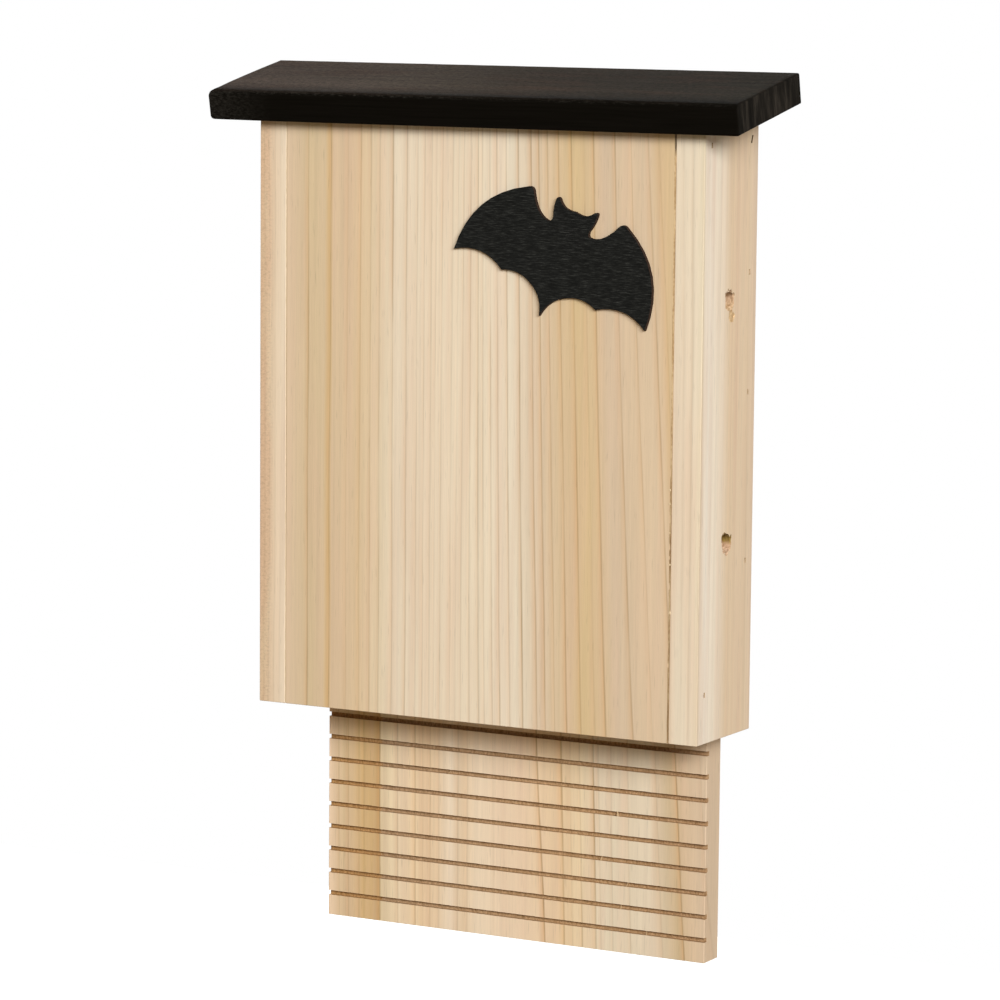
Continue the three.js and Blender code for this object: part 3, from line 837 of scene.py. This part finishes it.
# Black-dyed plywood: it gives the eye a matt black with fine paler streaks, about 5 mm long,
# along the grain of its face veneer. The laser left the edge a scorched dark brown
black_ply, tree, place = new_material("black_plywood_face")
ply_at = add(tree, "Mapping", {"Vector": place, "Scale": (0.2, 1, 2.6)})
ply = add(tree, "TexNoise", {"Vector": ply_at, "Scale": 1, "Detail": 6, "Roughness": 0.8})
face_black = add(tree, "ValToRGB", {"Fac": ply}, stops=[(0.34, "#0b0b09"), (0.52, "#191917"),
                                                        (0.68, "#42423e")])
finish_with(tree, face_black, 0.75, 0.05, ply, 0.1 * MM)
scorched = torn_pine("scorched_plywood_edge", "#17120e", "#3d2a1f", 0.7)
bat_figure.data.materials.clear()
bat_figure.data.materials.append(black_ply)
bat_figure.data.materials.append(scorched)
for polygon in bat_figure.data.polygons:
    polygon.material_index = 0 if abs(polygon.normal.y) > 0.5 else 1
place_in_frame(bat_figure, "black_plywood", "bat_figure")


# Floor and background. A pale studio floor well below the hanging box, which carries its soft
# shadow, in front of a plain white wall.
FLOOR_DROP = 0.45
FLOOR_REACH = 3.6


def seen_straight(tree):
    """Gives 1 to a ray from the camera, from gloss or through glass, and 0 to all others."""
    rays = [add(tree, "LightPath", output=f"Is {kind} Ray")
            for kind in ("Camera", "Glossy", "Transmission")]
    seen = add(tree, "Math", {0: rays[0], 1: rays[1]}, operation="MAXIMUM")
    return add(tree, "Math", {0: seen, 1: rays[2]}, operation="MAXIMUM")


floor = primitive(bpy.ops.mesh.primitive_plane_add, size=FLOOR_REACH,
                  location=(0, 0, cad_box[0].z - FLOOR_DROP))
floor.name = floor.data.name = "studio_floor"

# Matt floor paint: it gives the eye a white floor that still takes the box's shadow
material = bpy.data.materials.new("pale_painted_floor")
material.use_nodes = True
tree = material.node_tree
tree.nodes.clear()
lit = add(tree, "BsdfDiffuse", {"Color": linear("#958976")})
glow = add(tree, "Emission", {"Color": linear("#eef1f6"), "Strength": seen_straight(tree)})
both = add(tree, "AddShader", {0: lit, 1: glow})
add(tree, "OutputMaterial", {"Surface": both})
floor.data.materials.append(material)

# The wall looks white, and the light that comes from all round is weak and warm
world = bpy.data.worlds.new("white_studio")
bpy.context.scene.world = world
world.use_nodes = True
tree = world.node_tree
tree.nodes.clear()
fill = add(tree, "Background", {"Color": linear("#ffe0b2"), "Strength": 0.17})
white = add(tree, "Background", {"Color": linear("#ffffff"), "Strength": 1})
sky = add(tree, "MixShader", {0: seen_straight(tree), 1: fill, 2: white})
add(tree, "OutputWorld", {"Surface": sky})


# Lamps. The key is a wide softbox in front, to the right and a little above, so that the roof's
# overhang throws a soft band of shadow a few millimetres deep on the front. A weaker one behind
# lights the back and the left side, and reaches nothing that is seen from the front.
LAMP_DISTANCE = 3
LAMP_AIM = Vector((0, -0.025, 0.12))

# Each lamp's turn from straight in front and its rise, in degrees, its width and height in
# metres, and its watts
LAMPS = [("key_softbox", 42, 18.7, 2, 0.8, 112), ("rear_softbox", 215, 8, 2, 1.2, 85)]

for name, turn, rise, wide, tall, watts in LAMPS:
    turn, rise = math.radians(turn), math.radians(rise)
    towards = Vector((math.sin(turn) * math.cos(rise), -math.cos(turn) * math.cos(rise),
                      math.sin(rise)))
    lamp = bpy.data.lights.new(name, "AREA")
    lamp.shape = "RECTANGLE"
    lamp.size, lamp.size_y = wide, tall
    lamp.energy = watts
    lamp.color = linear("#f4f9ff")[:3]
    softbox = bpy.data.objects.new(name, lamp)
    bpy.context.collection.objects.link(softbox)
    softbox.location = LAMP_AIM + towards * LAMP_DISTANCE
    softbox.rotation_euler = towards.to_track_quat("Z", "Y").to_euler()


# Camera. A long lens to the right of the front and a little above it, as in the photograph, from
# the place that fits the edges of the box best.
CAMERA_PLACE = Vector((886.46, -1644.73, 328.26)) * MM
CAMERA_LENS = 157.942
CAMERA_SENSOR = 36

# In degrees: turned from straight in front, tipped down, and rolled
CAMERA_TURN = 28.7237
CAMERA_DROP = 7.2846
CAMERA_ROLL = 0.5078

camera_data = bpy.data.cameras.new("camera")
camera_data.sensor_width = CAMERA_SENSOR
camera_data.lens = CAMERA_LENS
camera_data.clip_start = 0.1
camera_data.clip_end = 50
camera = bpy.data.objects.new("camera", camera_data)
bpy.context.collection.objects.link(camera)
camera.matrix_world = (Matrix.Translation(CAMERA_PLACE)
                       @ Matrix.Rotation(math.radians(CAMERA_TURN), 4, "Z")
                       @ Matrix.Rotation(math.radians(90 - CAMERA_DROP), 4, "X")
                       @ Matrix.Rotation(math.radians(CAMERA_ROLL), 4, "Z"))
bpy.context.scene.camera = camera
bpy.context.scene.view_settings.view_transform = "Standard"
